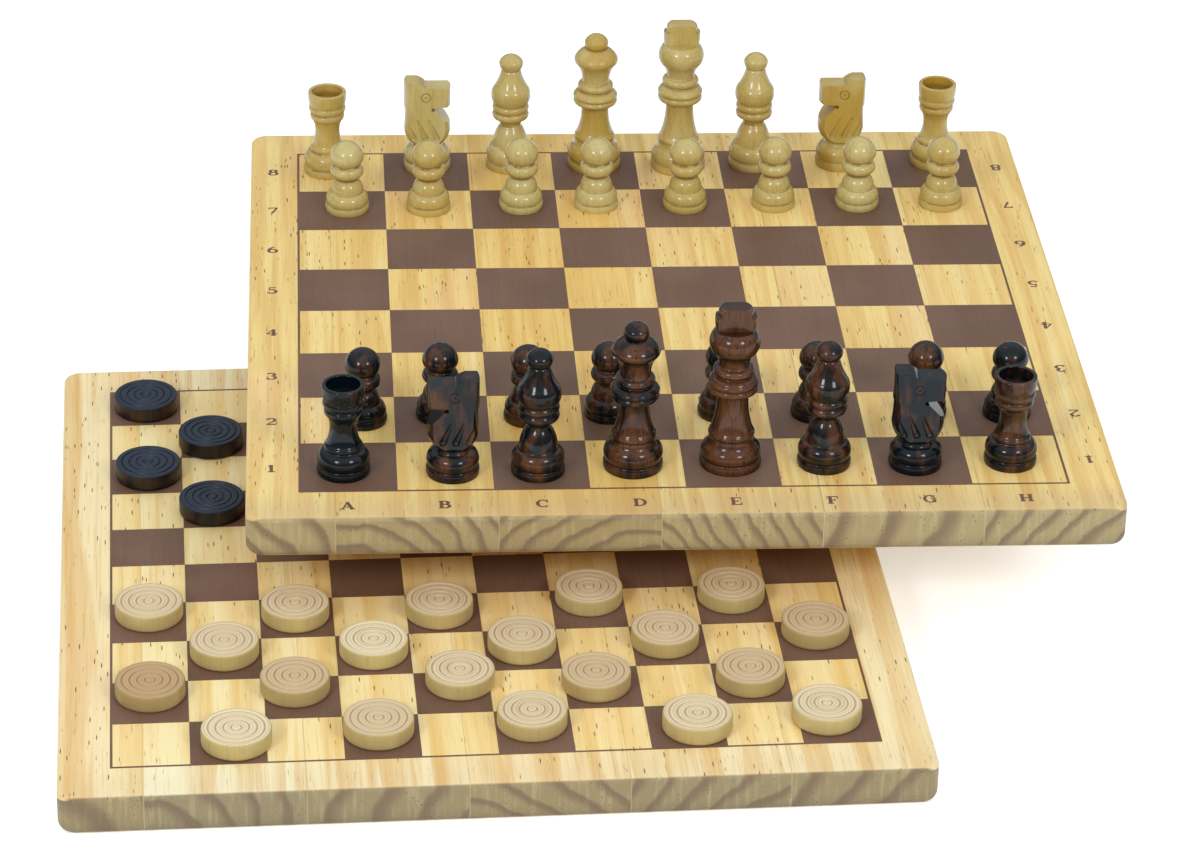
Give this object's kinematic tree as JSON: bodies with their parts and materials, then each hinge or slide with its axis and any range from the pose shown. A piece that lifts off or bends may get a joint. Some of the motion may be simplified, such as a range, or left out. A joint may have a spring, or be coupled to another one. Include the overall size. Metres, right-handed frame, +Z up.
{
  "type": "chess and checkers set",
  "caption": "Wooden chess and draughts set: a printed chess board with turned chessmen stands on a printed draughts board with grooved men; every piece lifts off.",
  "frame": {"origin": "middle of the draughts board's underside, on the table", "axes": "+Z up, +Y away from the dark chessmen's side (along the boards' grain), +X to that player's right"},
  "size_m": [0.4187, 0.4523, 0.1291],
  "materials": {
    "pine": "sanded and clear-coated, satin",
    "brown_ink": "printed on the wood, satin",
    "clear_lacquer": "boxwood colour, gloss lacquer",
    "dark_lacquer": "black-brown gloss lacquer",
    "plain_man_wood": "plain turned wood, matt top",
    "dark_man_stain": "black-brown stain, satin"
  },
  "bodies": {
    "draughts_board": {"draughts_board": "pine", "draughts_print": "brown_ink"},
    "chess_board": {"chess_board": "pine", "chess_print": "brown_ink"},
    "dark_bishop_c1": {"dark_bishop_c1": "dark_lacquer"},
    "dark_bishop_f1": {"dark_bishop_f1": "dark_lacquer"},
    "dark_king_e1": {"dark_king_e1": "dark_lacquer"},
    "dark_knight_b1": {"dark_knight_b1": "dark_lacquer"},
    "dark_knight_g1": {"dark_knight_g1": "dark_lacquer"},
    "dark_man_1": {"dark_man_1": "dark_man_stain"},
    "dark_man_2": {"dark_man_2": "dark_man_stain"},
    "dark_man_3": {"dark_man_3": "dark_man_stain"},
    "dark_man_4": {"dark_man_4": "dark_man_stain"},
    "dark_pawn_a2": {"dark_pawn_a2": "dark_lacquer"},
    "dark_pawn_b2": {"dark_pawn_b2": "dark_lacquer"},
    "dark_pawn_c2": {"dark_pawn_c2": "dark_lacquer"},
    "dark_pawn_d2": {"dark_pawn_d2": "dark_lacquer"},
    "dark_pawn_e2": {"dark_pawn_e2": "dark_lacquer"},
    "dark_pawn_f2": {"dark_pawn_f2": "dark_lacquer"},
    "dark_pawn_g2": {"dark_pawn_g2": "dark_lacquer"},
    "dark_pawn_h2": {"dark_pawn_h2": "dark_lacquer"},
    "dark_queen_d1": {"dark_queen_d1": "dark_lacquer"},
    "dark_rook_a1": {"dark_rook_a1": "dark_lacquer"},
    "dark_rook_h1": {"dark_rook_h1": "dark_lacquer"},
    "dark_stack_1": {"dark_stack_1": "dark_man_stain"},
    "dark_stack_2": {"dark_stack_2": "dark_man_stain"},
    "dark_stack_3": {"dark_stack_3": "dark_man_stain"},
    "dark_stack_4": {"dark_stack_4": "dark_man_stain"},
    "light_bishop_c8": {"light_bishop_c8": "clear_lacquer"},
    "light_bishop_f8": {"light_bishop_f8": "clear_lacquer"},
    "light_king_e8": {"light_king_e8": "clear_lacquer"},
    "light_knight_b8": {"light_knight_b8": "clear_lacquer"},
    "light_knight_g8": {"light_knight_g8": "clear_lacquer"},
    "light_man_1_1": {"light_man_1_1": "plain_man_wood"},
    "light_man_1_2": {"light_man_1_2": "plain_man_wood"},
    "light_man_1_3": {"light_man_1_3": "plain_man_wood"},
    "light_man_1_4": {"light_man_1_4": "plain_man_wood"},
    "light_man_1_5": {"light_man_1_5": "plain_man_wood"},
    "light_man_2_1": {"light_man_2_1": "plain_man_wood"},
    "light_man_2_2": {"light_man_2_2": "plain_man_wood"},
    "light_man_2_3": {"light_man_2_3": "plain_man_wood"},
    "light_man_2_4": {"light_man_2_4": "plain_man_wood"},
    "light_man_2_5": {"light_man_2_5": "plain_man_wood"},
    "light_man_3_1": {"light_man_3_1": "plain_man_wood"},
    "light_man_3_2": {"light_man_3_2": "plain_man_wood"},
    "light_man_3_3": {"light_man_3_3": "plain_man_wood"},
    "light_man_3_4": {"light_man_3_4": "plain_man_wood"},
    "light_man_3_5": {"light_man_3_5": "plain_man_wood"},
    "light_men_fourth_row": {"light_men_fourth_row": "plain_man_wood"},
    "light_pawn_a7": {"light_pawn_a7": "clear_lacquer"},
    "light_pawn_b7": {"light_pawn_b7": "clear_lacquer"},
    "light_pawn_c7": {"light_pawn_c7": "clear_lacquer"},
    "light_pawn_d7": {"light_pawn_d7": "clear_lacquer"},
    "light_pawn_e7": {"light_pawn_e7": "clear_lacquer"},
    "light_pawn_f7": {"light_pawn_f7": "clear_lacquer"},
    "light_pawn_g7": {"light_pawn_g7": "clear_lacquer"},
    "light_pawn_h7": {"light_pawn_h7": "clear_lacquer"},
    "light_queen_d8": {"light_queen_d8": "clear_lacquer"},
    "light_rook_a8": {"light_rook_a8": "clear_lacquer"},
    "light_rook_h8": {"light_rook_h8": "clear_lacquer"}
  },
  "joints": [
    {"name": "chess_board_lift", "type": "slide", "parent": "draughts_board", "child": "chess_board", "axis": [0, 0, 1], "range_m": [0, 0.2]},
    {"name": "dark_bishop_c1_lift", "type": "slide", "parent": "chess_board", "child": "dark_bishop_c1", "axis": [0, 0, 1], "range_m": [0, 0.1]},
    {"name": "dark_bishop_f1_lift", "type": "slide", "parent": "chess_board", "child": "dark_bishop_f1", "axis": [0, 0, 1], "range_m": [0, 0.1]},
    {"name": "dark_king_e1_lift", "type": "slide", "parent": "chess_board", "child": "dark_king_e1", "axis": [0, 0, 1], "range_m": [0, 0.1]},
    {"name": "dark_knight_b1_lift", "type": "slide", "parent": "chess_board", "child": "dark_knight_b1", "axis": [0, 0, 1], "range_m": [0, 0.1]},
    {"name": "dark_knight_g1_lift", "type": "slide", "parent": "chess_board", "child": "dark_knight_g1", "axis": [0, 0, 1], "range_m": [0, 0.1]},
    {"name": "dark_man_1_lift", "type": "slide", "parent": "draughts_board", "child": "dark_man_1", "axis": [0, 0, 1], "range_m": [0, 0.1]},
    {"name": "dark_man_2_lift", "type": "slide", "parent": "draughts_board", "child": "dark_man_2", "axis": [0, 0, 1], "range_m": [0, 0.1]},
    {"name": "dark_man_3_lift", "type": "slide", "parent": "draughts_board", "child": "dark_man_3", "axis": [0, 0, 1], "range_m": [0, 0.1]},
    {"name": "dark_man_4_lift", "type": "slide", "parent": "draughts_board", "child": "dark_man_4", "axis": [0, 0, 1], "range_m": [0, 0.1]},
    {"name": "dark_pawn_a2_lift", "type": "slide", "parent": "chess_board", "child": "dark_pawn_a2", "axis": [0, 0, 1], "range_m": [0, 0.1]},
    {"name": "dark_pawn_b2_lift", "type": "slide", "parent": "chess_board", "child": "dark_pawn_b2", "axis": [0, 0, 1], "range_m": [0, 0.1]},
    {"name": "dark_pawn_c2_lift", "type": "slide", "parent": "chess_board", "child": "dark_pawn_c2", "axis": [0, 0, 1], "range_m": [0, 0.1]},
    {"name": "dark_pawn_d2_lift", "type": "slide", "parent": "chess_board", "child": "dark_pawn_d2", "axis": [0, 0, 1], "range_m": [0, 0.1]},
    {"name": "dark_pawn_e2_lift", "type": "slide", "parent": "chess_board", "child": "dark_pawn_e2", "axis": [0, 0, 1], "range_m": [0, 0.1]},
    {"name": "dark_pawn_f2_lift", "type": "slide", "parent": "chess_board", "child": "dark_pawn_f2", "axis": [0, 0, 1], "range_m": [0, 0.1]},
    {"name": "dark_pawn_g2_lift", "type": "slide", "parent": "chess_board", "child": "dark_pawn_g2", "axis": [0, 0, 1], "range_m": [0, 0.1]},
    {"name": "dark_pawn_h2_lift", "type": "slide", "parent": "chess_board", "child": "dark_pawn_h2", "axis": [0, 0, 1], "range_m": [0, 0.1]},
    {"name": "dark_queen_d1_lift", "type": "slide", "parent": "chess_board", "child": "dark_queen_d1", "axis": [0, 0, 1], "range_m": [0, 0.1]},
    {"name": "dark_rook_a1_lift", "type": "slide", "parent": "chess_board", "child": "dark_rook_a1", "axis": [0, 0, 1], "range_m": [0, 0.1]},
    {"name": "dark_rook_h1_lift", "type": "slide", "parent": "chess_board", "child": "dark_rook_h1", "axis": [0, 0, 1], "range_m": [0, 0.1]},
    {"name": "dark_stack_1_lift", "type": "slide", "parent": "draughts_board", "child": "dark_stack_1", "axis": [0, 0, 1], "range_m": [0, 0.1]},
    {"name": "dark_stack_2_lift", "type": "slide", "parent": "draughts_board", "child": "dark_stack_2", "axis": [0, 0, 1], "range_m": [0, 0.1]},
    {"name": "dark_stack_3_lift", "type": "slide", "parent": "draughts_board", "child": "dark_stack_3", "axis": [0, 0, 1], "range_m": [0, 0.1]},
    {"name": "dark_stack_4_lift", "type": "slide", "parent": "draughts_board", "child": "dark_stack_4", "axis": [0, 0, 1], "range_m": [0, 0.1]},
    {"name": "light_bishop_c8_lift", "type": "slide", "parent": "chess_board", "child": "light_bishop_c8", "axis": [0, 0, 1], "range_m": [0, 0.1]},
    {"name": "light_bishop_f8_lift", "type": "slide", "parent": "chess_board", "child": "light_bishop_f8", "axis": [0, 0, 1], "range_m": [0, 0.1]},
    {"name": "light_king_e8_lift", "type": "slide", "parent": "chess_board", "child": "light_king_e8", "axis": [0, 0, 1], "range_m": [0, 0.1]},
    {"name": "light_knight_b8_lift", "type": "slide", "parent": "chess_board", "child": "light_knight_b8", "axis": [0, 0, 1], "range_m": [0, 0.1]},
    {"name": "light_knight_g8_lift", "type": "slide", "parent": "chess_board", "child": "light_knight_g8", "axis": [0, 0, 1], "range_m": [0, 0.1]},
    {"name": "light_man_1_1_lift", "type": "slide", "parent": "draughts_board", "child": "light_man_1_1", "axis": [0, 0, 1], "range_m": [0, 0.1]},
    {"name": "light_man_1_2_lift", "type": "slide", "parent": "draughts_board", "child": "light_man_1_2", "axis": [0, 0, 1], "range_m": [0, 0.1]},
    {"name": "light_man_1_3_lift", "type": "slide", "parent": "draughts_board", "child": "light_man_1_3", "axis": [0, 0, 1], "range_m": [0, 0.1]},
    {"name": "light_man_1_4_lift", "type": "slide", "parent": "draughts_board", "child": "light_man_1_4", "axis": [0, 0, 1], "range_m": [0, 0.1]},
    {"name": "light_man_1_5_lift", "type": "slide", "parent": "draughts_board", "child": "light_man_1_5", "axis": [0, 0, 1], "range_m": [0, 0.1]},
    {"name": "light_man_2_1_lift", "type": "slide", "parent": "draughts_board", "child": "light_man_2_1", "axis": [0, 0, 1], "range_m": [0, 0.1]},
    {"name": "light_man_2_2_lift", "type": "slide", "parent": "draughts_board", "child": "light_man_2_2", "axis": [0, 0, 1], "range_m": [0, 0.1]},
    {"name": "light_man_2_3_lift", "type": "slide", "parent": "draughts_board", "child": "light_man_2_3", "axis": [0, 0, 1], "range_m": [0, 0.1]},
    {"name": "light_man_2_4_lift", "type": "slide", "parent": "draughts_board", "child": "light_man_2_4", "axis": [0, 0, 1], "range_m": [0, 0.1]},
    {"name": "light_man_2_5_lift", "type": "slide", "parent": "draughts_board", "child": "light_man_2_5", "axis": [0, 0, 1], "range_m": [0, 0.1]},
    {"name": "light_man_3_1_lift", "type": "slide", "parent": "draughts_board", "child": "light_man_3_1", "axis": [0, 0, 1], "range_m": [0, 0.1]},
    {"name": "light_man_3_2_lift", "type": "slide", "parent": "draughts_board", "child": "light_man_3_2", "axis": [0, 0, 1], "range_m": [0, 0.1]},
    {"name": "light_man_3_3_lift", "type": "slide", "parent": "draughts_board", "child": "light_man_3_3", "axis": [0, 0, 1], "range_m": [0, 0.1]},
    {"name": "light_man_3_4_lift", "type": "slide", "parent": "draughts_board", "child": "light_man_3_4", "axis": [0, 0, 1], "range_m": [0, 0.1]},
    {"name": "light_man_3_5_lift", "type": "slide", "parent": "draughts_board", "child": "light_man_3_5", "axis": [0, 0, 1], "range_m": [0, 0.1]},
    {"name": "light_men_fourth_row_lift", "type": "slide", "parent": "draughts_board", "child": "light_men_fourth_row", "axis": [0, 0, 1], "range_m": [0, 0.02]},
    {"name": "light_pawn_a7_lift", "type": "slide", "parent": "chess_board", "child": "light_pawn_a7", "axis": [0, 0, 1], "range_m": [0, 0.1]},
    {"name": "light_pawn_b7_lift", "type": "slide", "parent": "chess_board", "child": "light_pawn_b7", "axis": [0, 0, 1], "range_m": [0, 0.1]},
    {"name": "light_pawn_c7_lift", "type": "slide", "parent": "chess_board", "child": "light_pawn_c7", "axis": [0, 0, 1], "range_m": [0, 0.1]},
    {"name": "light_pawn_d7_lift", "type": "slide", "parent": "chess_board", "child": "light_pawn_d7", "axis": [0, 0, 1], "range_m": [0, 0.1]},
    {"name": "light_pawn_e7_lift", "type": "slide", "parent": "chess_board", "child": "light_pawn_e7", "axis": [0, 0, 1], "range_m": [0, 0.1]},
    {"name": "light_pawn_f7_lift", "type": "slide", "parent": "chess_board", "child": "light_pawn_f7", "axis": [0, 0, 1], "range_m": [0, 0.1]},
    {"name": "light_pawn_g7_lift", "type": "slide", "parent": "chess_board", "child": "light_pawn_g7", "axis": [0, 0, 1], "range_m": [0, 0.1]},
    {"name": "light_pawn_h7_lift", "type": "slide", "parent": "chess_board", "child": "light_pawn_h7", "axis": [0, 0, 1], "range_m": [0, 0.1]},
    {"name": "light_queen_d8_lift", "type": "slide", "parent": "chess_board", "child": "light_queen_d8", "axis": [0, 0, 1], "range_m": [0, 0.1]},
    {"name": "light_rook_a8_lift", "type": "slide", "parent": "chess_board", "child": "light_rook_a8", "axis": [0, 0, 1], "range_m": [0, 0.1]},
    {"name": "light_rook_h8_lift", "type": "slide", "parent": "chess_board", "child": "light_rook_h8", "axis": [0, 0, 1], "range_m": [0, 0.1]}
  ],
  "couplings": [
    {"joint": "dark_stack_1_lift", "follows": "chess_board_lift", "ratio": 0.5},
    {"joint": "dark_stack_2_lift", "follows": "chess_board_lift", "ratio": 0.5},
    {"joint": "dark_stack_3_lift", "follows": "chess_board_lift", "ratio": 0.5},
    {"joint": "dark_stack_4_lift", "follows": "chess_board_lift", "ratio": 0.5}
  ]
}
